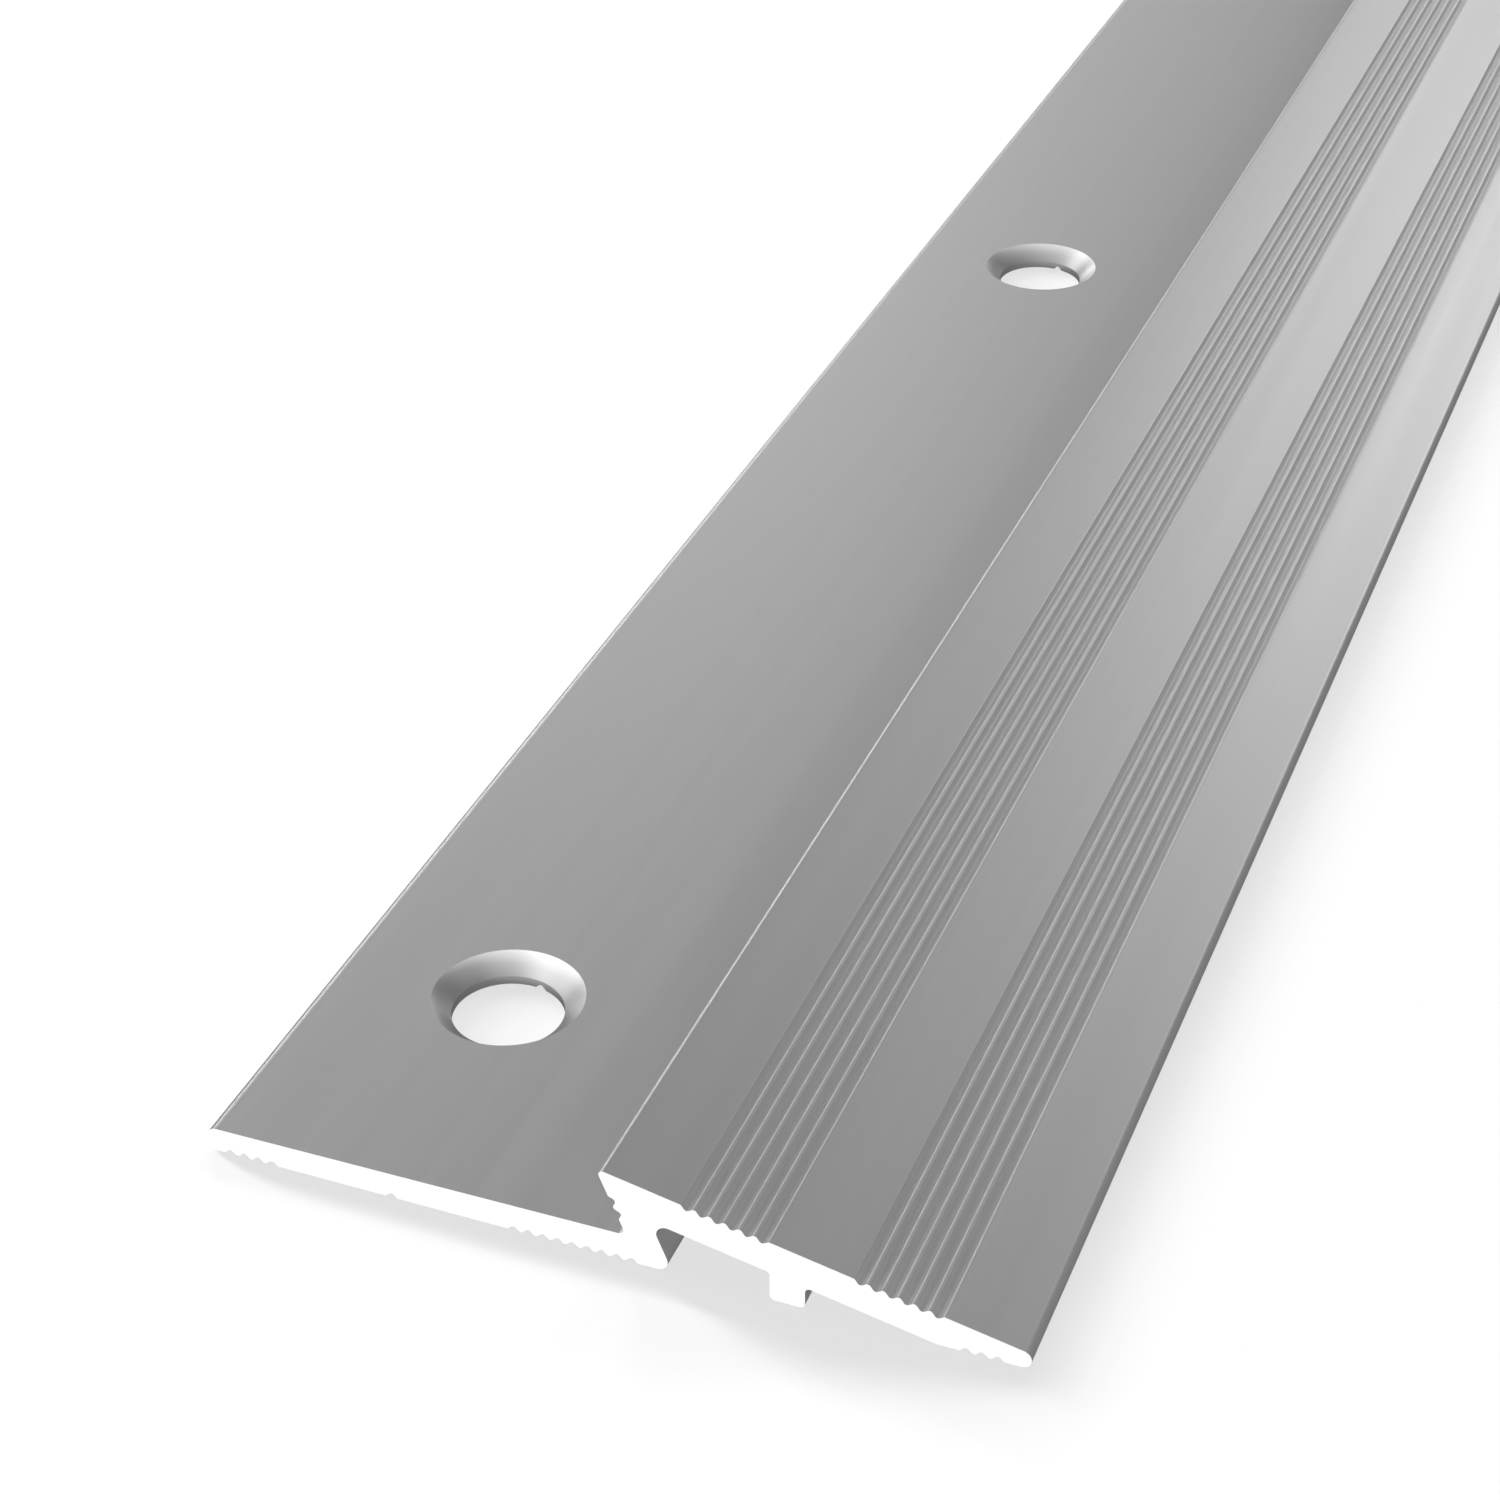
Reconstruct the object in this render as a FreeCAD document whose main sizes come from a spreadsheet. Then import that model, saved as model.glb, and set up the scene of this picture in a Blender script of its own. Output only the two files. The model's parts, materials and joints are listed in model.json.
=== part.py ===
import FreeCAD, Part
import math
import os
import Sketcher

# Threshold strip: one straight aluminium extrusion with a row of countersunk screw holes.
#
# Seen from its end, from left to right:
#   flange   a thin plate that lies on the floor, under the edge of the floor covering, and takes the screws
#   stop     a leaning wall that the covering butts against, with two notches in its face
#   ramp     a sloping tread down to the lower floor, held up by one rib, with two bands of grooves
#
# +X runs from the flange to the ramp, +Y along the strip and +Z up. The origin is the middle of the
# footprint, on the floor. Lengths are in millimetres and angles in degrees.

# A "place" is measured from the flange's outer edge, or down a sloping face from the rounded tip.
DRIVING = [
    ("hole_count", 10),
    ("hole_pitch", 100),
    ("end_margin", 15.5),
    ("strip_width", 44.8),
    ("strip_height", 5.48),
    ("rebate_width", 22.3),
    ("flange_edge_height", 1.44),
    ("flange_taper", 0.62),
    ("flange_edge_round", 0.6),
    ("stop_lean", 21.8),
    ("stop_wall", 1.7),
    ("stop_foot_round", 0.6),
    ("stop_corner_round", 0.3),
    ("tip_round", 0.24),
    ("ramp_angle", 11.43),
    ("ramp_wall", 1.91),
    ("ramp_root_round", 0.55),
    ("rib_place", 31.34),
    ("rib_width", 1.86),
    ("rib_round", 0.3),
    ("rib_fillet", 0.25),
    ("groove_pitch", 0.81),
    ("groove_depth", 0.25),
    ("groove_angle", 90),
    ("groove_round", 0.18),
    ("groove_clear", 0.05),
    ("edge_row_place", 1.3),
    ("edge_row_count", 4),
    ("guide_place", 10.62),
    ("guide_count", 1),
    ("stop_row_place", 17.49),
    ("stop_row_count", 9),
    ("toe_row_place", 41.5),
    ("toe_row_count", 3),
    ("upper_tread_place", 4.49),
    ("lower_tread_place", 13.74),
    ("tread_row_count", 6),
    ("notch_place", 1.6),
    ("notch_count", 2),
    ("screw_place", 10.05),
    ("screw_hole", 6.26),
    ("countersink", 8.53),
    ("countersink_angle", 96),
    ("countersink_clear", 0.2),
]

# "across" and "up" place a point along X and Z, "way" is the direction of a line around the section, and
# "turn" is the direction of a face that a groove is cut into, with the metal on its right.
DERIVED = [
    ("strip_length", "=2 * end_margin + (hole_count - 1) * hole_pitch"),
    ("half_width", "=strip_width / 2"),
    ("tip_across", "=rebate_width + tip_round - half_width"),
    ("tip_up", "=strip_height - tip_round"),
    ("tread_across", "=tip_across + tip_round * sin(ramp_angle)"),
    ("tread_up", "=tip_up + tip_round * cos(ramp_angle)"),
    ("tread_way", "=180 - ramp_angle"),
    ("tread_turn", "=-ramp_angle"),
    ("face_across", "=tip_across - tip_round * cos(stop_lean)"),
    ("face_up", "=tip_up - tip_round * sin(stop_lean)"),
    ("face_way", "=stop_lean - 90"),
    ("face_turn", "=stop_lean + 90"),
    ("flange_way", "=flange_taper - 180"),
    ("bottom_turn", "=180"),
    ("bottom_up", "=0"),
    ("rib_across", "=rib_place - half_width"),
    ("edge_row_across", "=edge_row_place - half_width"),
    ("guide_across", "=guide_place - half_width"),
    ("stop_row_across", "=stop_row_place - half_width"),
    ("toe_row_across", "=toe_row_place - half_width"),
    ("upper_tread_across", "=tread_across + upper_tread_place * cos(ramp_angle)"),
    ("upper_tread_up", "=tread_up - upper_tread_place * sin(ramp_angle)"),
    ("lower_tread_across", "=tread_across + lower_tread_place * cos(ramp_angle)"),
    ("lower_tread_up", "=tread_up - lower_tread_place * sin(ramp_angle)"),
    ("notch_across", "=face_across + notch_place * sin(stop_lean)"),
    ("notch_up", "=face_up - notch_place * cos(stop_lean)"),
    ("groove_half_angle", "=groove_angle / 2"),
    ("groove_centre_depth", "=groove_depth - groove_round"),
    ("screw_inset", "=half_width - screw_place"),
    ("screw_start", "=strip_length / 2 - end_margin"),
    ("screw_radius", "=screw_hole / 2"),
    ("screw_plane", "=flange_edge_height + screw_place * tan(flange_taper) + countersink_clear"),
    ("countersink_mouth", "=countersink + 2 * countersink_clear * tan(countersink_angle / 2)"),
]

# name, the first groove's place across and up, direction of its face, number of grooves
GROOVE_ROWS = [
    ("EdgeRow", "edge_row_across", "bottom_up", "bottom_turn", "edge_row_count"),
    ("ScrewGuide", "guide_across", "bottom_up", "bottom_turn", "guide_count"),
    ("StopRow", "stop_row_across", "bottom_up", "bottom_turn", "stop_row_count"),
    ("ToeRow", "toe_row_across", "bottom_up", "bottom_turn", "toe_row_count"),
    ("UpperTread", "upper_tread_across", "upper_tread_up", "tread_turn", "tread_row_count"),
    ("LowerTread", "lower_tread_across", "lower_tread_up", "tread_turn", "tread_row_count"),
    ("StopNotches", "notch_across", "notch_up", "face_turn", "notch_count"),
]


def fill_sheet(doc):
    """Write the driving sizes and the sizes that follow from them, and return all of them as numbers."""
    sheet = doc.addObject("Spreadsheet::Sheet", "dims")
    for row, (alias, value) in enumerate(DRIVING + DERIVED, start=1):
        sheet.set(f"A{row}", alias)
        sheet.set(f"B{row}", str(value))
        sheet.setAlias(f"B{row}", alias)
    doc.recompute()
    return {alias: float(sheet.get(alias)) for alias, value in DRIVING + DERIVED}


def origin_feature(body, role):
    """One of the body's own origin planes or axes."""
    return [feature for feature in body.Origin.OriginFeatures if feature.Role == role][0]


def add_sketch(body, name, plane):
    """An empty sketch on one of the body's origin planes."""
    sketch = body.newObject("Sketcher::SketchObject", name)
    sketch.AttachmentSupport = [(origin_feature(body, plane), "")]
    sketch.MapMode = "FlatFace"
    return sketch


def relate(sketch, *constraint):
    """Add a constraint that has no size."""
    sketch.addConstraint(Sketcher.Constraint(*constraint))


def drive(sketch, size, alias, *constraint):
    """Add a constraint whose size is the spreadsheet's, and name it after the size."""
    value = size[alias]
    if constraint[0] == "Angle":
        value = math.radians(value)
    index = sketch.addConstraint(Sketcher.Constraint(*constraint, value))
    sketch.renameConstraint(index, alias)
    sketch.setExpression(f"Constraints.{alias}", f"dims.{alias}")


def heading(degrees):
    """The unit vector in a direction."""
    return FreeCAD.Vector(math.cos(math.radians(degrees)), math.sin(math.radians(degrees)), 0)


def meet(point, degrees, other_point, other_degrees):
    """Where two lines cross, each given by a point and a direction."""
    along = heading(degrees)
    other = heading(other_degrees)
    gap = other_point - point
    return point + along * (gap.cross(other).z / along.cross(other).z)


def draw_corner_arc(sketch, arriving, leaving, back, onward, corner, radius):
    """Round the corner between two lines, each given with the unit vector from the corner along it."""
    half_angle = back.getAngle(onward) / 2
    centre = corner + (back + onward).normalize() * (radius / math.sin(half_angle))
    reach = radius / math.tan(half_angle)
    first = corner + back * reach - centre
    last = corner + onward * reach - centre
    outward = onward.cross(back).z > 0
    if not outward:
        first, last = last, first
    start = math.atan2(first.y, first.x)
    stop = start + first.getAngle(last)
    circle = Part.Circle(centre, FreeCAD.Vector(0, 0, 1), radius)
    arc = sketch.addGeometry(Part.ArcOfCircle(circle, start, stop))
    relate(sketch, "Tangent", arriving, 2, arc, 1 if outward else 2)
    relate(sketch, "Tangent", arc, 2 if outward else 1, leaving, 1)
    return arc


def draw_rounded(sketch, corners):
    """Draw the closed outline through the corners, counterclockwise, and round those that have a radius.

    Each corner is its name, point and radius. Returns the line that leaves each corner and the arc that
    rounds it, by the corner's name.
    """
    ways = {}
    for i, (name, point, radius) in enumerate(corners):
        back = (corners[i - 1][1] - point).normalize()
        onward = (corners[(i + 1) % len(corners)][1] - point).normalize()
        ways[name] = (back, onward, radius / math.tan(back.getAngle(onward) / 2))

    lines = {}
    for i, (name, point, radius) in enumerate(corners):
        next_name, next_point, next_radius = corners[(i + 1) % len(corners)]
        start = point + ways[name][1] * ways[name][2]
        stop = next_point + ways[next_name][0] * ways[next_name][2]
        lines[name] = sketch.addGeometry(Part.LineSegment(start, stop))

    arcs = {}
    for i, (name, point, radius) in enumerate(corners):
        arriving = lines[corners[i - 1][0]]
        back, onward, reach = ways[name]
        if radius:
            arcs[name] = draw_corner_arc(sketch, arriving, lines[name], back, onward, point, radius)
        else:
            relate(sketch, "Coincident", arriving, 2, lines[name], 1)
    return lines, arcs


def draw_section(sketch, size):
    """The strip's section, without its grooves."""
    floor = FreeCAD.Vector(0, 0, 0)
    edge_bottom = FreeCAD.Vector(-size["half_width"], 0, 0)
    edge_top = FreeCAD.Vector(-size["half_width"], size["flange_edge_height"], 0)
    tread = FreeCAD.Vector(size["tread_across"], size["tread_up"], 0)
    face = FreeCAD.Vector(size["face_across"], size["face_up"], 0)
    tread_way, face_way = size["tread_way"], size["face_way"]
    ramp_under = tread + heading(tread_way + 90) * size["ramp_wall"]
    stop_back = face + heading(face_way + 90) * size["stop_wall"]
    rib_left = FreeCAD.Vector(size["rib_across"], 0, 0)
    rib_right = FreeCAD.Vector(size["rib_across"] + size["rib_width"], 0, 0)
    toe = meet(floor, 0, tread, tread_way)
    toe_round = (toe.x - size["half_width"]) / (1 / math.tan(math.radians(size["ramp_angle"] / 2)) - 1)

    lines, arcs = draw_rounded(sketch, [
        ("edge_bottom", edge_bottom, size["flange_edge_round"]),
        ("foot", meet(floor, 0, stop_back, face_way), size["stop_foot_round"]),
        ("root", meet(stop_back, face_way, ramp_under, tread_way), size["ramp_root_round"]),
        ("rib_left_top", meet(rib_left, 90, ramp_under, tread_way), size["rib_fillet"]),
        ("rib_left", rib_left, size["rib_round"]),
        ("rib_right", rib_right, size["rib_round"]),
        ("rib_right_top", meet(rib_right, 90, ramp_under, tread_way), size["rib_fillet"]),
        ("toe_start", meet(floor, 0, ramp_under, tread_way), 0),
        ("toe", toe, toe_round),
        ("tip", meet(tread, tread_way, face, face_way), size["tip_round"]),
        ("stop_corner", meet(face, face_way, edge_top, size["flange_way"]), size["stop_corner_round"]),
        ("edge_top", edge_top, size["flange_edge_round"]),
    ])

    for name in ("edge_bottom", "rib_left", "toe_start"):
        relate(sketch, "Horizontal", lines[name])
        relate(sketch, "PointOnObject", lines[name], 1, -1)
    for name in ("rib_left_top", "rib_right", "edge_top"):
        relate(sketch, "Vertical", lines[name])
    relate(sketch, "Parallel", lines["foot"], lines["tip"])
    relate(sketch, "Parallel", lines["root"], lines["toe"])
    relate(sketch, "Tangent", lines["root"], lines["rib_right_top"])
    relate(sketch, "Equal", arcs["edge_bottom"], arcs["edge_top"])
    relate(sketch, "Equal", arcs["rib_left"], arcs["rib_right"])
    relate(sketch, "Equal", arcs["rib_left_top"], arcs["rib_right_top"])

    drive(sketch, size, "flange_edge_round", "Radius", arcs["edge_top"])
    drive(sketch, size, "stop_foot_round", "Radius", arcs["foot"])
    drive(sketch, size, "ramp_root_round", "Radius", arcs["root"])
    drive(sketch, size, "rib_round", "Radius", arcs["rib_left"])
    drive(sketch, size, "rib_fillet", "Radius", arcs["rib_left_top"])
    drive(sketch, size, "tip_round", "Radius", arcs["tip"])
    drive(sketch, size, "stop_corner_round", "Radius", arcs["stop_corner"])
    drive(sketch, size, "tread_way", "Angle", lines["toe"])
    drive(sketch, size, "face_way", "Angle", lines["tip"])
    drive(sketch, size, "flange_way", "Angle", lines["stop_corner"])
    drive(sketch, size, "half_width", "DistanceX", lines["edge_top"], 1, -1, 1)
    drive(sketch, size, "tip_across", "DistanceX", -1, 1, arcs["tip"], 3)
    drive(sketch, size, "tip_up", "DistanceY", -1, 1, arcs["tip"], 3)
    drive(sketch, size, "stop_wall", "Distance", lines["foot"], 1, lines["tip"])
    drive(sketch, size, "ramp_wall", "Distance", lines["root"], 1, lines["toe"])
    drive(sketch, size, "rib_across", "DistanceX", -1, 1, lines["rib_left_top"], 1)
    drive(sketch, size, "rib_width", "DistanceX", lines["rib_left_top"], 1, lines["rib_right"], 1)

    # the flange's height is measured where its top would meet the edge if the edge weren't rounded
    edge_mark = sketch.addGeometry(Part.Point(edge_top), True)
    relate(sketch, "PointOnObject", edge_mark, 1, lines["stop_corner"])
    relate(sketch, "PointOnObject", edge_mark, 1, lines["edge_top"])
    drive(sketch, size, "flange_edge_height", "DistanceY", -1, 1, edge_mark, 1)

    # the toe is round from the tread to the floor, and its round ends at the strip's full width
    toe_foot = FreeCAD.Vector(size["half_width"], 0, 0)
    toe_head = FreeCAD.Vector(size["half_width"], 2 * toe_round, 0)
    toe_limit = sketch.addGeometry(Part.LineSegment(toe_foot, toe_head), True)
    relate(sketch, "Vertical", toe_limit)
    relate(sketch, "PointOnObject", toe_limit, 1, -1)
    relate(sketch, "PointOnObject", toe_limit, 2, lines["toe"])
    relate(sketch, "Tangent", arcs["toe"], toe_limit)
    drive(sketch, size, "strip_width", "DistanceX", lines["edge_top"], 1, toe_limit, 1)


def draw_groove(sketch, size):
    """A groove with a round bottom, cut into the metal below the sketch's x axis."""
    half = size["groove_half_angle"]
    radius = size["groove_round"]
    centre = FreeCAD.Vector(0, -size["groove_centre_depth"], 0)
    right_side = heading(90 - half)
    left_side = heading(90 + half)
    right_foot = centre + heading(-half) * radius
    left_foot = centre + heading(180 + half) * radius
    right_top = right_foot + right_side * ((size["groove_clear"] - right_foot.y) / right_side.y)
    left_top = left_foot + left_side * ((size["groove_clear"] - left_foot.y) / left_side.y)

    circle = Part.Circle(centre, FreeCAD.Vector(0, 0, 1), radius)
    bottom = sketch.addGeometry(Part.ArcOfCircle(circle, math.radians(180 + half), math.radians(360 - half)))
    right = sketch.addGeometry(Part.LineSegment(right_foot, right_top))
    top = sketch.addGeometry(Part.LineSegment(right_top, left_top))
    left = sketch.addGeometry(Part.LineSegment(left_top, left_foot))

    relate(sketch, "Tangent", bottom, 2, right, 1)
    relate(sketch, "Coincident", right, 2, top, 1)
    relate(sketch, "Coincident", top, 2, left, 1)
    relate(sketch, "Tangent", left, 2, bottom, 1)
    relate(sketch, "PointOnObject", bottom, 3, -2)
    relate(sketch, "Symmetric", top, 1, top, 2, -2)
    drive(sketch, size, "groove_round", "Radius", bottom)
    drive(sketch, size, "groove_centre_depth", "DistanceY", bottom, 3, -1, 1)
    drive(sketch, size, "groove_clear", "DistanceY", -1, 1, top, 1)
    drive(sketch, size, "groove_angle", "Angle", right, 1, left, 2)


def repeat(body, name, feature, direction, spacing, count, backward):
    """Repeat a cut along a straight line."""
    pattern = body.newObject("PartDesign::LinearPattern", name)
    pattern.Originals = [feature]
    pattern.Direction = direction
    pattern.Mode = "Spacing"
    pattern.Reversed = backward
    pattern.setExpression("Offset", f"dims.{spacing}")
    pattern.setExpression("Occurrences", f"dims.{count}")
    body.Tip = pattern


def cut_groove_row(body, size, name, across, up, turn, count):
    """Cut a row of parallel grooves along the whole strip, side by side in one face."""
    sketch = add_sketch(body, f"{name}Section", "XZ_Plane")
    place = FreeCAD.Vector(size[across], size[up], 0)
    axis = FreeCAD.Vector(0, 0, 1)
    sketch.AttachmentOffset = FreeCAD.Placement(place, FreeCAD.Rotation(axis, size[turn]))
    sketch.setExpression("AttachmentOffset.Base.x", f"dims.{across}")
    sketch.setExpression("AttachmentOffset.Base.y", f"dims.{up}")
    sketch.setExpression("AttachmentOffset.Rotation.Angle", f"dims.{turn}")
    draw_groove(sketch, size)

    groove = body.newObject("PartDesign::Pocket", f"{name}Groove")
    groove.Profile = sketch
    groove.Type = "ThroughAll"
    groove.SideType = "Symmetric"
    body.Tip = groove
    if size[count] > 1:
        # a face on the floor has its sketch upside down, so its row runs against the sketch's x axis
        repeat(body, name, groove, (sketch, ["H_Axis"]), "groove_pitch", count, turn == "bottom_turn")


def drill_screw_holes(doc, body, size):
    """Countersunk holes down through the flange, in one line along the strip."""
    sketch = add_sketch(body, "ScrewCentre", "XY_Plane")
    sketch.AttachmentOffset.Base.z = size["screw_plane"]
    sketch.setExpression("AttachmentOffset.Base.z", "dims.screw_plane")
    centre = FreeCAD.Vector(-size["screw_inset"], -size["screw_start"], 0)
    circle = sketch.addGeometry(Part.Circle(centre, FreeCAD.Vector(0, 0, 1), size["screw_radius"]))
    drive(sketch, size, "screw_radius", "Radius", circle)
    drive(sketch, size, "screw_inset", "DistanceX", circle, 3, -1, 1)
    drive(sketch, size, "screw_start", "DistanceY", circle, 3, -1, 1)

    hole = body.newObject("PartDesign::Hole", "ScrewHole")
    hole.Profile = sketch
    doc.recompute()
    hole.Threaded = False
    hole.DepthType = "ThroughAll"
    hole.setExpression("Diameter", "dims.screw_hole")
    hole.HoleCutType = "Countersink"
    hole.HoleCutCustomValues = True
    hole.setExpression("HoleCutDiameter", "dims.countersink_mouth")
    hole.setExpression("HoleCutCountersinkAngle", "dims.countersink_angle")
    doc.recompute()
    body.Tip = hole
    along = (origin_feature(body, "Y_Axis"), [""])
    repeat(body, "ScrewHoles", hole, along, "hole_pitch", "hole_count", False)


def build(doc):
    """The whole strip as one body."""
    size = fill_sheet(doc)
    body = doc.addObject("PartDesign::Body", "Profile")
    body.Label = "profile"

    section = add_sketch(body, "Section", "XZ_Plane")
    draw_section(section, size)
    bar = body.newObject("PartDesign::Pad", "Bar")
    bar.Profile = section
    bar.SideType = "Symmetric"
    bar.setExpression("Length", "dims.strip_length")
    body.Tip = bar
    doc.recompute()

    for row in GROOVE_ROWS:
        cut_groove_row(body, size, *row)
        doc.recompute()
    drill_screw_holes(doc, body, size)
    doc.recompute()
    return body


doc = FreeCAD.newDocument("threshold_strip")
profile = build(doc)
broken = [o.Label for o in doc.Objects if "Invalid" in o.State or "Error" in o.State]
if broken or profile.Shape.isNull() or not profile.Shape.isValid():
    raise RuntimeError(f"the strip did not build: {broken}")

os.makedirs("parts", exist_ok=True)
profile.Shape.exportStep(f"parts/{profile.Label}.step")
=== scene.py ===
import json
import math

import bmesh
import bpy
import numpy as np
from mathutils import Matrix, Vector

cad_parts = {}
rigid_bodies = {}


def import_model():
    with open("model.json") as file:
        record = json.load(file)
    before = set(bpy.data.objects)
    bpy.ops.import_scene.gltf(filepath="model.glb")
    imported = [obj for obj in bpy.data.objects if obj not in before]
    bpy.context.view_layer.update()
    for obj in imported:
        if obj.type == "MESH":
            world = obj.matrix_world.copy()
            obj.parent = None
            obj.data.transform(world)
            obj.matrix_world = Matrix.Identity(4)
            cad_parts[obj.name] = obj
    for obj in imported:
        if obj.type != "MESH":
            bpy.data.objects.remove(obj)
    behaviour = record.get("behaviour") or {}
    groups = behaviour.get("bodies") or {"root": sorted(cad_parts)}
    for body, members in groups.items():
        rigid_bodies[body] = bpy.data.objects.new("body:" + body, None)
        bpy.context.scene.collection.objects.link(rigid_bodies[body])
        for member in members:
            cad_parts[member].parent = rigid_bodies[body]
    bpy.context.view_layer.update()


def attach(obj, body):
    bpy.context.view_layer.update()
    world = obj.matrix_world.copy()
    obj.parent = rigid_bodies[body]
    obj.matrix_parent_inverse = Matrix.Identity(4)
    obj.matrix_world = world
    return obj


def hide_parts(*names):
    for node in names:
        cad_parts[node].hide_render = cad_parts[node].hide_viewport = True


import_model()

# The strip's real sizes in millimetres and degrees, as the CAD part has them. The frame is in metres.
MM = 0.001
HOLE_COUNT = 10
HOLE_PITCH = 100.0
END_MARGIN = 15.5
LENGTH = 2 * END_MARGIN + (HOLE_COUNT - 1) * HOLE_PITCH
HALF_WIDTH = 44.8 / 2
HEIGHT = 5.48
FLANGE_EDGE_HEIGHT, FLANGE_TAPER, FLANGE_EDGE_ROUND = 1.44, 0.62, 0.6
STOP_LEAN, STOP_WALL, STOP_FOOT_ROUND, STOP_CORNER_ROUND = 21.8, 1.7, 0.6, 0.3
TIP_ROUND, REBATE_WIDTH = 0.24, 22.3
RAMP_ANGLE, RAMP_WALL, RAMP_ROOT_ROUND = 11.43, 1.91, 0.55
RIB_PLACE, RIB_WIDTH, RIB_ROUND, RIB_FILLET = 31.34, 1.86, 0.3, 0.25
GROOVE_PITCH, GROOVE_DEPTH, GROOVE_ROUND = 0.81, 0.25, 0.18
# rows of grooves: the distance of the first groove and the number of grooves.
# Under the strip the distance is from the flange's edge, on the tread and the stop it is from the tip.
EDGE_ROW, GUIDE_ROW, FOOT_ROW, TOE_ROW = (1.3, 4), (10.62, 1), (17.49, 9), (41.5, 3)
UPPER_TREAD_ROW, LOWER_TREAD_ROW = (4.49, 6), (13.74, 6)
STOP_ROW = (1.6, 2)
# small rounds that the CAD part leaves sharp: the crests between grooves, and the toe's inner corner
CREST_ROUND, TOE_CORNER_ROUND = 0.12, 0.12
SCREW_X, SCREW_RADIUS = 10.05 - HALF_WIDTH, 6.26 / 2
SINK_RADIUS, SINK_HALF_ANGLE = 8.53 / 2, 48.0
HOLE_YS = [(i - (HOLE_COUNT - 1) / 2) * HOLE_PITCH for i in range(HOLE_COUNT)]

# length of bar on each side of a hole's axis that is meshed on its own
HOLE_REACH = 5.2
DRILL_SIDES = 144
# how far the drill stands out above and below the flange
DRILL_EXCESS = 1.0
# largest turn between neighbouring segments of a round
ARC_STEP = math.radians(6.5)


def heading(degrees):
    return np.array([math.cos(math.radians(degrees)), math.sin(math.radians(degrees))])


def meet(point, degrees, other_point, other_degrees):
    """Where two lines of the section cross, each given by a point and a direction."""
    along, other = heading(degrees), heading(other_degrees)
    gap = np.asarray(other_point) - np.asarray(point)
    reach = (gap[0] * other[1] - gap[1] * other[0]) / (along[0] * other[1] - along[1] * other[0])
    return np.asarray(point) + along * reach


def groove_row(first, way, count):
    """The corners of a row of right-angled grooves in a face, in the order that the outline passes them."""
    along = heading(way)
    inward = heading(way + 90)
    sharp_depth = GROOVE_DEPTH - GROOVE_ROUND + GROOVE_ROUND * math.sqrt(2)
    corners = []
    for i in range(count):
        middle = first + along * GROOVE_PITCH * i
        corners.append((middle - along * sharp_depth, CREST_ROUND))
        corners.append((middle + inward * sharp_depth, GROOVE_ROUND))
        corners.append((middle + along * sharp_depth, CREST_ROUND))
    return corners


def section_corners():
    """The section's corners, counterclockwise, as (point, radius), with every groove in its place."""
    tip = np.array([REBATE_WIDTH + TIP_ROUND - HALF_WIDTH, HEIGHT - TIP_ROUND])
    tread = tip + TIP_ROUND * heading(90 - RAMP_ANGLE)
    face = tip - TIP_ROUND * heading(STOP_LEAN)
    tread_way, face_way, flange_way = 180 - RAMP_ANGLE, STOP_LEAN - 90, FLANGE_TAPER - 180
    ramp_under = tread + heading(tread_way + 90) * RAMP_WALL
    stop_back = face + heading(face_way + 90) * STOP_WALL
    rib_left = RIB_PLACE - HALF_WIDTH
    rib_right = rib_left + RIB_WIDTH
    floor = (0.0, 0.0)
    toe = meet(floor, 0, tread, tread_way)
    # the round that touches the floor, the tread and the strip's widest line
    toe_round = (toe[0] - HALF_WIDTH) / (1 / math.tan(math.radians(RAMP_ANGLE / 2)) - 1)
    edge_bottom = np.array([-HALF_WIDTH, 0.0])
    edge_top = np.array([-HALF_WIDTH, FLANGE_EDGE_HEIGHT])

    def under(place, count):
        return groove_row(np.array([place - HALF_WIDTH, 0.0]), 0, count)

    def on_tread(place, count):
        lowest = tread - heading(tread_way) * (place + (count - 1) * GROOVE_PITCH)
        return groove_row(lowest, tread_way, count)

    def on_stop(place, count):
        return groove_row(face + heading(face_way) * place, face_way, count)

    corners = [(edge_bottom, FLANGE_EDGE_ROUND)]
    corners += under(*EDGE_ROW) + under(*GUIDE_ROW) + under(*FOOT_ROW)
    corners += [
        (meet(floor, 0, stop_back, face_way), STOP_FOOT_ROUND),
        (meet(stop_back, face_way, ramp_under, tread_way), RAMP_ROOT_ROUND),
        (meet((rib_left, 0), 90, ramp_under, tread_way), RIB_FILLET),
        (np.array([rib_left, 0.0]), RIB_ROUND),
        (np.array([rib_right, 0.0]), RIB_ROUND),
        (meet((rib_right, 0), 90, ramp_under, tread_way), RIB_FILLET),
        (meet(floor, 0, ramp_under, tread_way), TOE_CORNER_ROUND),
    ]
    corners += under(*TOE_ROW)
    corners += [(toe, toe_round)]
    corners += on_tread(*LOWER_TREAD_ROW) + on_tread(*UPPER_TREAD_ROW)
    corners += [(meet(tread, tread_way, face, face_way), TIP_ROUND)]
    corners += on_stop(*STOP_ROW)
    corners += [
        (meet(face, face_way, edge_top, flange_way), STOP_CORNER_ROUND),
        (edge_top, FLANGE_EDGE_ROUND),
    ]
    return corners


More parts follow.
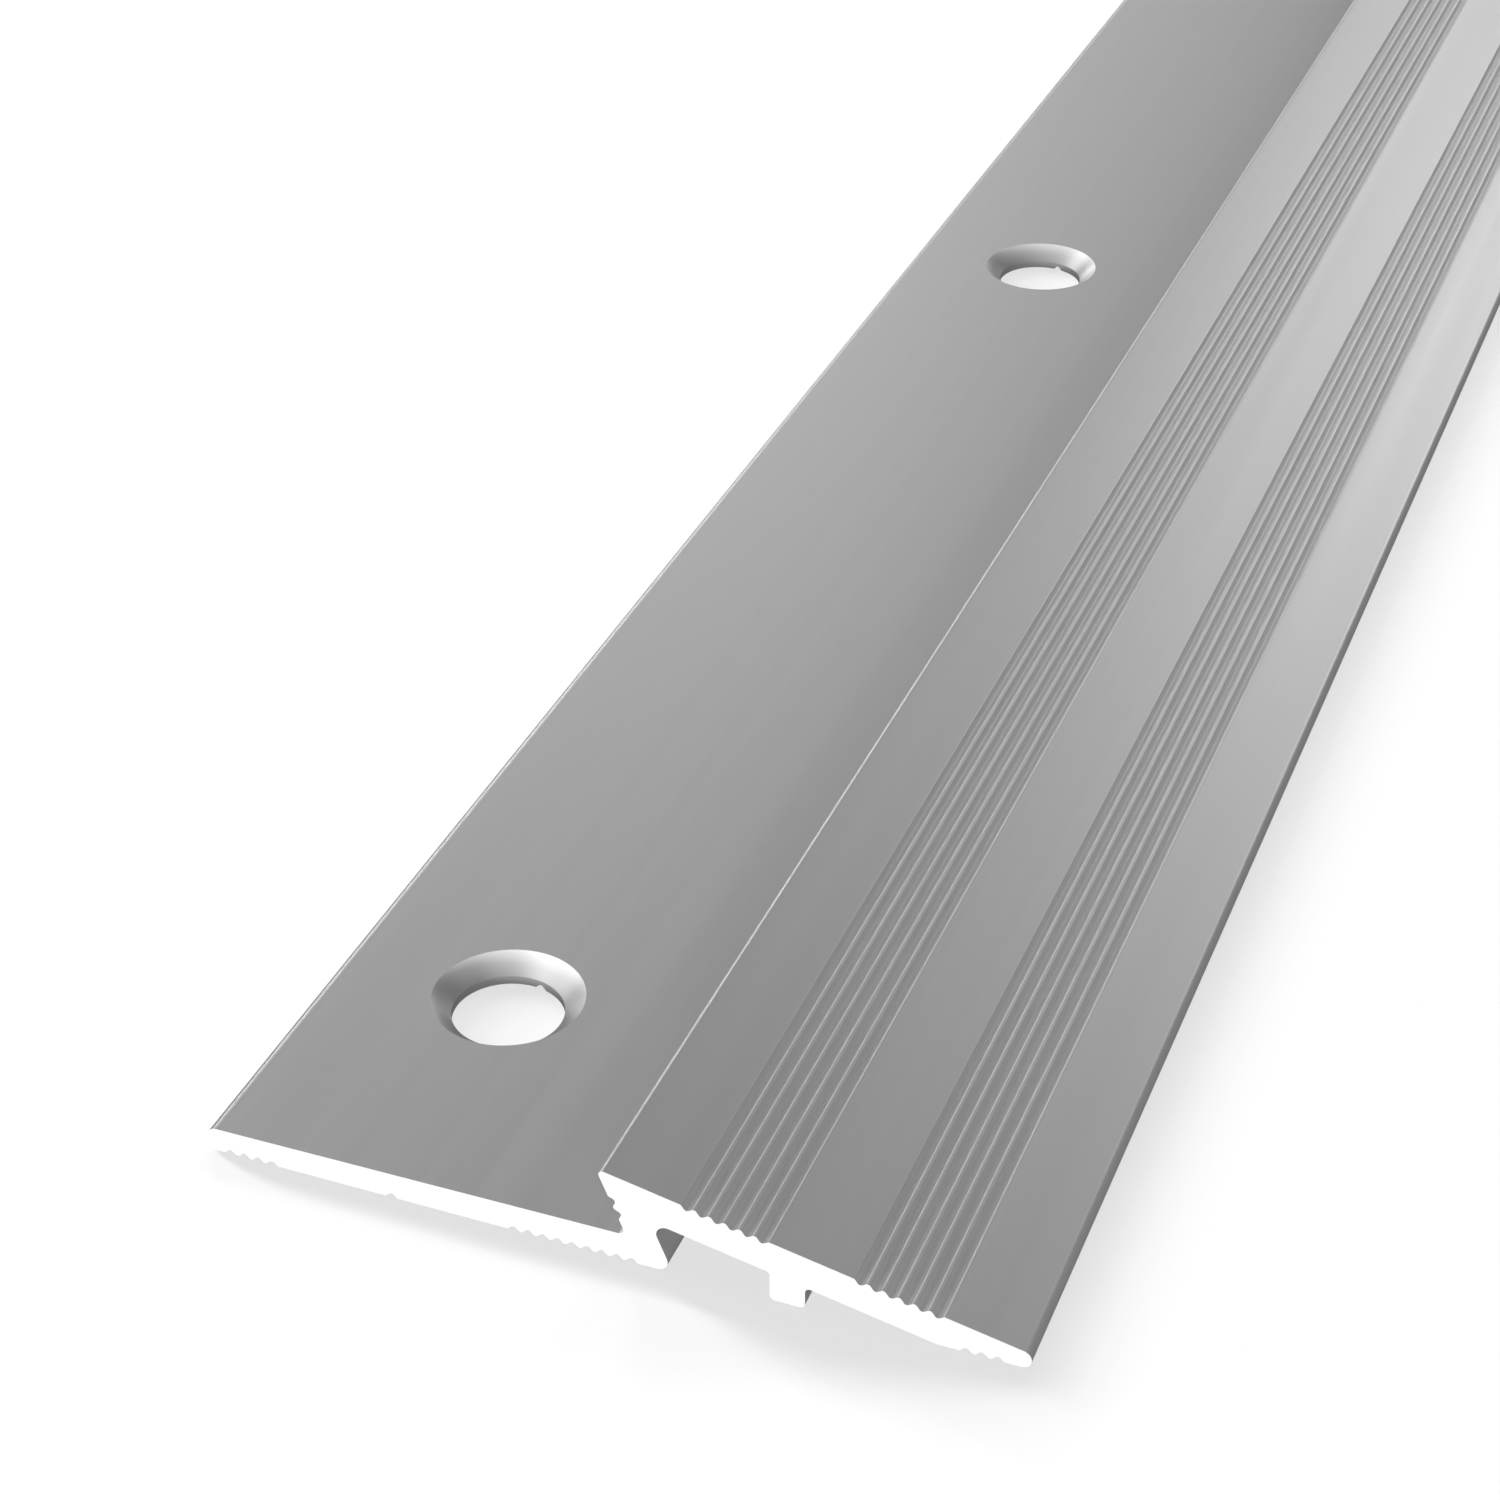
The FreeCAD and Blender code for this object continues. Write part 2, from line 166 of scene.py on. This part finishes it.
def outline():
    """The rounded outline, counterclockwise: its points, and each segment's outward normal at both ends."""
    corners = section_corners()
    points, starts, stops = [], [], []
    for i, (corner, radius) in enumerate(corners):
        back = corners[i - 1][0] - corner
        onward = corners[(i + 1) % len(corners)][0] - corner
        back, onward = back / np.linalg.norm(back), onward / np.linalg.norm(onward)
        half = math.acos(float(np.clip(back @ onward, -1, 1))) / 2
        before = np.array([-back[1], back[0]])
        after = np.array([onward[1], -onward[0]])
        turn = math.pi - 2 * half
        steps = max(2, math.ceil(turn / ARC_STEP))
        middle = corner + (back + onward) / np.linalg.norm(back + onward) * (radius / math.sin(half))
        outward = after[0] * before[1] - after[1] * before[0] < 0
        way = 1 if outward else -1
        first = math.atan2(before[1], before[0])
        angles = [first + way * turn * k / steps for k in range(steps + 1)]
        normals = [np.array([math.cos(angle), math.sin(angle)]) for angle in angles]
        for k, normal in enumerate(normals):
            points.append(middle + way * radius * normal)
            starts.append(normal)
            stops.append(normals[min(k + 1, steps)])
    return np.array(points), np.array(starts), np.array(stops)


def skin(name, rings):
    """A closed mesh over a stack of rings of points, with a flat face at each end."""
    made = bmesh.new()
    stack = [[made.verts.new(point) for point in ring] for ring in rings]
    for low, high in zip(stack, stack[1:]):
        for i in range(len(low)):
            j = (i + 1) % len(low)
            made.faces.new((low[i], low[j], high[j], high[i]))
    made.faces.new(stack[0][::-1])
    made.faces.new(stack[-1])
    bmesh.ops.recalc_face_normals(made, faces=made.faces)
    mesh = bpy.data.meshes.new(name)
    made.to_mesh(mesh)
    made.free()
    return mesh


def extrude(points):
    """The closed bar, with rings on both sides of each hole."""
    stations = [-LENGTH / 2, LENGTH / 2]
    stations += [y + side * HOLE_REACH for y in HOLE_YS for side in (-1, 1)]
    return skin("profile_bar", [[(x * MM, y * MM, z * MM) for x, z in points] for y in sorted(stations)])


def drill(y):
    """One countersinking cutter, standing on the hole's axis."""
    slope = math.tan(math.radians(FLANGE_TAPER))
    rim_height = FLANGE_EDGE_HEIGHT + (SCREW_X + HALF_WIDTH) * slope
    spread = math.tan(math.radians(SINK_HALF_ANGLE))
    land_top = rim_height - (SINK_RADIUS - SCREW_RADIUS) / spread
    steps = [
        (SCREW_RADIUS, -DRILL_EXCESS),
        (SCREW_RADIUS, land_top),
        (SINK_RADIUS + DRILL_EXCESS * spread, rim_height + DRILL_EXCESS),
    ]
    turns = [2 * math.pi * k / DRILL_SIDES for k in range(DRILL_SIDES)]
    return skin("drill", [
        [((SCREW_X + radius * math.cos(a)) * MM, (y + radius * math.sin(a)) * MM, z * MM) for a in turns]
        for radius, z in steps
    ])


def link(name, data):
    """A new object in the scene."""
    obj = bpy.data.objects.new(name, data)
    bpy.context.scene.collection.objects.link(obj)
    return obj


def drilled_bar(points):
    """The bar with its screw holes cut."""
    bar = link("profile_shell", extrude(points))
    cutters = bpy.data.collections.new("drills")
    for y in HOLE_YS:
        cutters.objects.link(bpy.data.objects.new("drill", drill(y)))
    bpy.context.scene.collection.children.link(cutters)
    cut = bar.modifiers.new("holes", "BOOLEAN")
    cut.operation = "DIFFERENCE"
    cut.solver = "EXACT"
    cut.operand_type = "COLLECTION"
    cut.collection = cutters
    shaped = bpy.data.meshes.new_from_object(bar.evaluated_get(bpy.context.evaluated_depsgraph_get()))
    bar.modifiers.remove(cut)
    bar.data = shaped
    for cutter in list(cutters.objects):
        bpy.data.objects.remove(cutter)
    bpy.data.collections.remove(cutters)
    return bar


# places of the materials on the bar
ANODISED, MACHINED, SAWN = 0, 1, 2
UV_PER_MM = 0.01
# the cone is this much longer along its slope than it is high
CONE_STRETCH = 1.5
# how the faces are told apart: millimetres of slack at the ends and around the countersink,
# the least turn of a sawn face towards the bar's end, and the upward turn of a hole's wall and cone
END_SLACK, RIM_SLACK = 0.01, 0.1
SAWN_TURN = 0.999
WALL_LEAST, CONE_LEAST, CONE_MOST = -0.2, 0.3, 0.9
# millimetres that a face's turn away from a segment counts for when its nearest segment is looked for
TURN_WEIGHT = 0.2


def read_faces(mesh):
    """Each face corner's place in millimetres and its face, and each face's normal and middle."""
    vertex = np.empty(len(mesh.loops), np.int32)
    mesh.loops.foreach_get("vertex_index", vertex)
    co = np.empty(len(mesh.vertices) * 3)
    mesh.vertices.foreach_get("co", co)
    at = co.reshape(-1, 3)[vertex] / MM
    sides = np.empty(len(mesh.polygons), np.int32)
    mesh.polygons.foreach_get("loop_total", sides)
    facing = np.empty(len(mesh.polygons) * 3)
    mesh.polygons.foreach_get("normal", facing)
    face = np.repeat(np.arange(len(sides)), sides)
    middle = np.stack([np.bincount(face, at[:, k]) for k in range(3)], axis=1) / sides[:, None]
    return at, face, facing.reshape(-1, 3), middle


def on_section(at, face, facing, middle, points, starts, stops):
    """Each corner's normal, and its place along and around the bar, from its face's nearest segment."""
    ends = np.roll(points, -1, axis=0)
    lengths = np.linalg.norm(ends - points, axis=1)
    run = np.concatenate([[0.0], np.cumsum(lengths)])[:-1]
    way = (ends - points) / lengths[:, None]
    side = np.stack([way[:, 1], -way[:, 0]], axis=1)
    # faces with the same place and turn in the section share one search
    keys = np.round(np.hstack([middle[:, [0, 2]], facing[:, [0, 2]]]), 3)
    keys, found = np.unique(keys, axis=0, return_inverse=True)
    segment = np.empty(len(keys), np.int32)
    for i, key in enumerate(keys):
        gap = key[:2] - points
        along = np.einsum("ij,ij->i", gap, way)
        across = np.abs(np.einsum("ij,ij->i", gap, side))
        missed = np.maximum(0, np.maximum(-along, along - lengths))
        segment[i] = np.argmin(across + missed + TURN_WEIGHT * (1 - side @ key[2:]))
    s = segment[found.ravel()][face]
    t = np.einsum("ij,ij->i", at[:, [0, 2]] - points[s], way[s]) / lengths[s]
    t = np.clip(t, 0, 1)[:, None]
    section_normal = starts[s] * (1 - t) + stops[s] * t
    section_normal /= np.linalg.norm(section_normal, axis=1)[:, None]
    normals = np.zeros((len(at), 3))
    normals[:, [0, 2]] = section_normal
    return normals, np.stack([at[:, 1], run[s] + t[:, 0] * lengths[s]], axis=1)


def on_hole(at, face, facing, outward, off):
    """Each corner's normal, and its place around and down the hole, if it is on a hole's wall or cone."""
    sink = math.radians(SINK_HALF_ANGLE)
    on_cone = facing[face, 2] > CONE_LEAST
    level = np.where(on_cone, math.cos(sink), 1.0) / np.hypot(off[:, 0], off[:, 1])
    rise = np.where(on_cone, math.sin(sink), 0.0)
    normals = np.stack([-off[:, 0] * level, -off[:, 1] * level, rise], axis=1)
    # each face is unrolled from its own middle, so that none is torn where the angle starts again
    start = np.arctan2(outward[:, 1], outward[:, 0])[face]
    turn = (np.arctan2(off[:, 1], off[:, 0]) - start + math.pi) % (2 * math.pi) - math.pi
    return normals, np.stack([(start + turn) * SCREW_RADIUS, at[:, 2] * CONE_STRETCH], axis=1)


def finish_surface(bar, points, starts, stops):
    """Give every corner its exact normal and its place on the surface, and every face its material."""
    mesh = bar.data
    at, face, facing, middle = read_faces(mesh)
    nearest = np.clip(np.round((middle[:, 1] - HOLE_YS[0]) / HOLE_PITCH), 0, HOLE_COUNT - 1)
    axis = np.stack([np.full(len(middle), SCREW_X), HOLE_YS[0] + nearest * HOLE_PITCH], axis=1)
    off = at[:, :2] - axis[face]
    widest = np.zeros(len(middle))
    np.maximum.at(widest, face, np.hypot(off[:, 0], off[:, 1]))
    sawn = (np.abs(facing[:, 1]) > SAWN_TURN) & (np.abs(middle[:, 1]) > LENGTH / 2 - END_SLACK)
    steep = (facing[:, 2] > WALL_LEAST) & (facing[:, 2] < CONE_MOST)
    drilled = (widest < SINK_RADIUS + RIM_SLACK) & steep & ~sawn

    normals, places = on_section(at, face, facing, middle, points, starts, stops)
    hole_normals, hole_places = on_hole(at, face, facing, middle[:, :2] - axis, off)
    pick = drilled[face]
    normals[pick], places[pick] = hole_normals[pick], hole_places[pick]
    pick = sawn[face]
    normals[pick], places[pick] = np.outer(np.sign(at[pick, 1]), (0, 1, 0)), at[pick][:, [0, 2]]

    material = np.where(sawn, SAWN, np.where(drilled, MACHINED, ANODISED)).astype(np.int32)
    mesh.polygons.foreach_set("material_index", material)
    mesh.polygons.foreach_set("use_smooth", np.ones(len(middle), bool))
    uv = mesh.uv_layers.new(name="UVMap")
    uv.data.foreach_set("uv", (places * UV_PER_MM).ravel())
    mesh.normals_split_custom_set(normals.tolist())


def node(tree, kind, **values):
    """A new node with these properties set."""
    made = tree.nodes.new(kind)
    for key, value in values.items():
        setattr(made, key, value)
    return made


# the part of the noise's range that the gloss and the tone follow, how much the tone changes,
# and the relief of the lines
GLOSS_RANGE, TONE_RANGE = (0.25, 0.75), (0.3, 0.7)
TONE_SPREAD = 0.015
RELIEF_STRENGTH, RELIEF_METRES = 0.1, 0.00001


def metal(name, tone, roughness, metallic, grain_scale, gloss_spread):
    """A grey metal with fine lines along the surface's first direction, a little uneven in gloss and tone."""
    material = bpy.data.materials.new(name)
    material.use_nodes = True
    tree = material.node_tree
    shader = tree.nodes["Principled BSDF"]
    shader.inputs["Metallic"].default_value = metallic
    place = node(tree, "ShaderNodeUVMap", uv_map="UVMap")
    lines = node(tree, "ShaderNodeMapping")
    lines.inputs["Scale"].default_value = grain_scale
    tree.links.new(place.outputs["UV"], lines.inputs["Vector"])
    grain = node(tree, "ShaderNodeTexNoise", noise_dimensions="2D")
    grain.inputs["Scale"].default_value = 1.0
    grain.inputs["Detail"].default_value = 3.0
    grain.inputs["Roughness"].default_value = 0.5
    tree.links.new(lines.outputs["Vector"], grain.inputs["Vector"])
    gloss = node(tree, "ShaderNodeMapRange")
    gloss.inputs["From Min"].default_value, gloss.inputs["From Max"].default_value = GLOSS_RANGE
    gloss.inputs["To Min"].default_value = roughness - gloss_spread
    gloss.inputs["To Max"].default_value = roughness + gloss_spread
    tree.links.new(grain.outputs["Fac"], gloss.inputs["Value"])
    tree.links.new(gloss.outputs["Result"], shader.inputs["Roughness"])
    ramp = node(tree, "ShaderNodeValToRGB")
    for stop, position, side in zip(ramp.color_ramp.elements, TONE_RANGE, (-1, 1)):
        grey = tone * (1 + side * TONE_SPREAD)
        stop.position = position
        stop.color = (grey, grey, grey, 1)
    tree.links.new(grain.outputs["Fac"], ramp.inputs["Fac"])
    tree.links.new(ramp.outputs["Color"], shader.inputs["Base Color"])
    bump = node(tree, "ShaderNodeBump")
    bump.inputs["Strength"].default_value = RELIEF_STRENGTH
    bump.inputs["Distance"].default_value = RELIEF_METRES
    tree.links.new(grain.outputs["Fac"], bump.inputs["Height"])
    tree.links.new(bump.outputs["Normal"], shader.inputs["Normal"])
    return material


# in the order of their places on the bar
METALS = [
    metal("anodised", tone=0.62, roughness=0.37, metallic=0.8, grain_scale=(0.6, 90, 1), gloss_spread=0.02),
    metal("machined", tone=0.75, roughness=0.30, metallic=1.0, grain_scale=(0.5, 200, 1), gloss_spread=0.02),
    metal("sawn", tone=0.95, roughness=0.50, metallic=0.2, grain_scale=(260, 30, 1), gloss_spread=0.04),
]

points, starts, stops = outline()
profile = drilled_bar(points)
finish_surface(profile, points, starts, stops)
profile.data.materials.clear()
for material in METALS:
    profile.data.materials.append(material)
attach(profile, "root")
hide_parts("profile")


FLOOR_TONE = 0.9
FLOOR_REACH = 40.0
# keeps the floor just clear of the strip's flat underside
FLOOR_DROP = 0.00002


def floor_material():
    """A plain pale matt ground."""
    material = bpy.data.materials.new("floor")
    material.use_nodes = True
    shader = material.node_tree.nodes["Principled BSDF"]
    shader.inputs["Base Color"].default_value = (FLOOR_TONE, FLOOR_TONE, FLOOR_TONE, 1)
    shader.inputs["Roughness"].default_value = 1.0
    shader.inputs["Specular IOR Level"].default_value = 0.0
    return material


def add_floor():
    """The ground that the strip lies on, far wider than the view."""
    mesh = bpy.data.meshes.new("floor")
    corners = [(x * FLOOR_REACH, y * FLOOR_REACH, 0) for x, y in ((-1, -1), (1, -1), (1, 1), (-1, 1))]
    mesh.from_pydata(corners, [], [(0, 1, 2, 3)])
    floor = link("floor", mesh)
    floor.location.z = -FLOOR_DROP
    mesh.materials.append(floor_material())
    return floor


# the photo's view: it looks along the strip from just past its near end
CAMERA_PLACE = (0.05035, -0.5748, 0.1103)
CAMERA_DOWN, CAMERA_TURN = 33.65, 21.22
CAMERA_LENS, CAMERA_SENSOR = 77.16, 36


def add_camera():
    """The camera, which looks down and to the left of +Y by the angles above."""
    data = bpy.data.cameras.new("camera")
    data.lens = CAMERA_LENS
    data.sensor_width = CAMERA_SENSOR
    data.clip_start = 0.01
    data.clip_end = 50
    camera = link("camera", data)
    camera.location = CAMERA_PLACE
    camera.rotation_euler = (math.radians(90 - CAMERA_DOWN), 0, math.radians(CAMERA_TURN))
    bpy.context.scene.camera = camera


# middle of the part of the strip that the camera sees, and how far the panels stand from it
LIT_POINT = Vector((0, -0.3, 0))
PANEL_DISTANCE = 3.0


def towards(azimuth, elevation):
    """The direction at these angles in degrees. Azimuth runs from +X to +Y."""
    a, e = math.radians(azimuth), math.radians(elevation)
    return Vector((math.cos(a) * math.cos(e), math.sin(a) * math.cos(e), math.sin(e)))


def add_light(name, kind, receivers, way):
    """A light that lights only the receivers. The camera doesn't see it."""
    data = bpy.data.lights.new(name, kind)
    lamp = link(name, data)
    lamp.visible_camera = False
    lamp.light_linking.receiver_collection = receivers
    lamp.location = LIT_POINT + way * PANEL_DISTANCE
    lamp.rotation_euler = way.to_track_quat("Z", "Y").to_euler()
    return lamp


def add_panel(name, receivers, azimuth, elevation, width, height, radiance):
    """A soft panel that faces the strip. Its place and its size are angles."""
    lamp = add_light(name, "AREA", receivers, towards(azimuth, elevation))
    data = lamp.data
    data.shape = "RECTANGLE"
    data.size = 2 * PANEL_DISTANCE * math.tan(math.radians(width / 2))
    data.size_y = 2 * PANEL_DISTANCE * math.tan(math.radians(height / 2))
    data.energy = math.pi * data.size * data.size_y * radiance
    return lamp


def add_sun(name, receivers, azimuth, elevation, width, share):
    """An even light on the whole floor that gives it this share of white."""
    lamp = add_light(name, "SUN", receivers, towards(azimuth, elevation))
    lamp.data.angle = math.radians(width)
    lamp.data.energy = share * math.pi / (FLOOR_TONE * math.sin(math.radians(elevation)))
    return lamp


def receivers_of(name, obj):
    """A collection of one object, for a light to be linked to."""
    found = bpy.data.collections.new(name)
    found.objects.link(obj)
    return found


def add_world(strength):
    """An even dim room that the camera sees as white."""
    world = bpy.data.worlds.new("studio")
    bpy.context.scene.world = world
    world.use_nodes = True
    tree = world.node_tree
    seen = node(tree, "ShaderNodeLightPath")
    level = node(tree, "ShaderNodeMapRange")
    level.inputs["To Min"].default_value = strength
    level.inputs["To Max"].default_value = 1.0
    tree.links.new(seen.outputs["Is Camera Ray"], level.inputs["Value"])
    tree.links.new(level.outputs["Result"], tree.nodes["Background"].inputs["Strength"])
    tree.nodes["Background"].inputs["Color"].default_value = (1, 1, 1, 1)


ROOM_STRENGTH = 0.09
# these mirror in the strip's top: azimuth, elevation, width, height, radiance
STRIP_PANELS = [
    (80, 26, 20, 10, 3.12),
    (133, 11, 22, 8, 3.8),
    (80, 4, 18, 6, 1.5),
    (108, 6, 14, 10, 1.3),
    (108, 16, 14, 10, 0.82),
    (120, 26, 20, 10, 1.4),
    (160, 38, 34, 20, 1.45),
    (185, 20, 28, 16, 0.84),
    (200, 38, 34, 20, 1.06),
    (240, 38, 34, 20, 1.68),
    (80, 38, 34, 20, 0.17),
    (290, 40, 60, 40, 0.35),
    (0, 30, 60, 30, 0.2),
]
# these make the sawn ends white and don't mirror in the metal: the same five values
END_PANELS = [
    (270, 6, 28, 12, 112.0),
    (270, 2, 28, 4, 240.0),
    (90, 2, 28, 4, 220.0),
    (240, 6, 28, 12, 22.0),
    (300, 20, 28, 16, 8.3),
]
# these cast the soft shadow on the floor: azimuth, elevation, width, share of white
FLOOR_SUNS = [
    (157, 28, 10, 0.065),
    (159, 19.5, 6, 0.065),
    (162, 14.5, 3, 0.035),
    (166, 12, 2.4, 0.03),
    (180, 7, 2, 0.015),
    (120, 30, 12, 0.04),
    (90, 36, 14, 0.03),
]
# straight above the floor, the same four values
FLOOR_FILL = (0, 90, 20, 0.654)

add_camera()
floor = add_floor()
add_world(ROOM_STRENGTH)
strip_light = receivers_of("strip_light", profile)
floor_light = receivers_of("floor_light", floor)
for i, panel in enumerate(STRIP_PANELS):
    add_panel(f"strip_panel_{i}", strip_light, *panel)
for i, panel in enumerate(END_PANELS):
    add_panel(f"end_panel_{i}", strip_light, *panel).visible_glossy = False
for i, sun in enumerate(FLOOR_SUNS):
    add_sun(f"floor_sun_{i}", floor_light, *sun)
# the fill casts no shadow of the strip, so the floor stays pale in the holes and under the ramp
fill = add_sun("floor_fill", floor_light, *FLOOR_FILL)
fill.light_linking.blocker_collection = floor_light
# the pale floor doesn't mirror in the metal, and the bright sawn end doesn't light up its own shadow
floor.visible_glossy = False
profile.visible_diffuse = False
# keeps the white ground white
bpy.context.scene.view_settings.view_transform = "Standard"
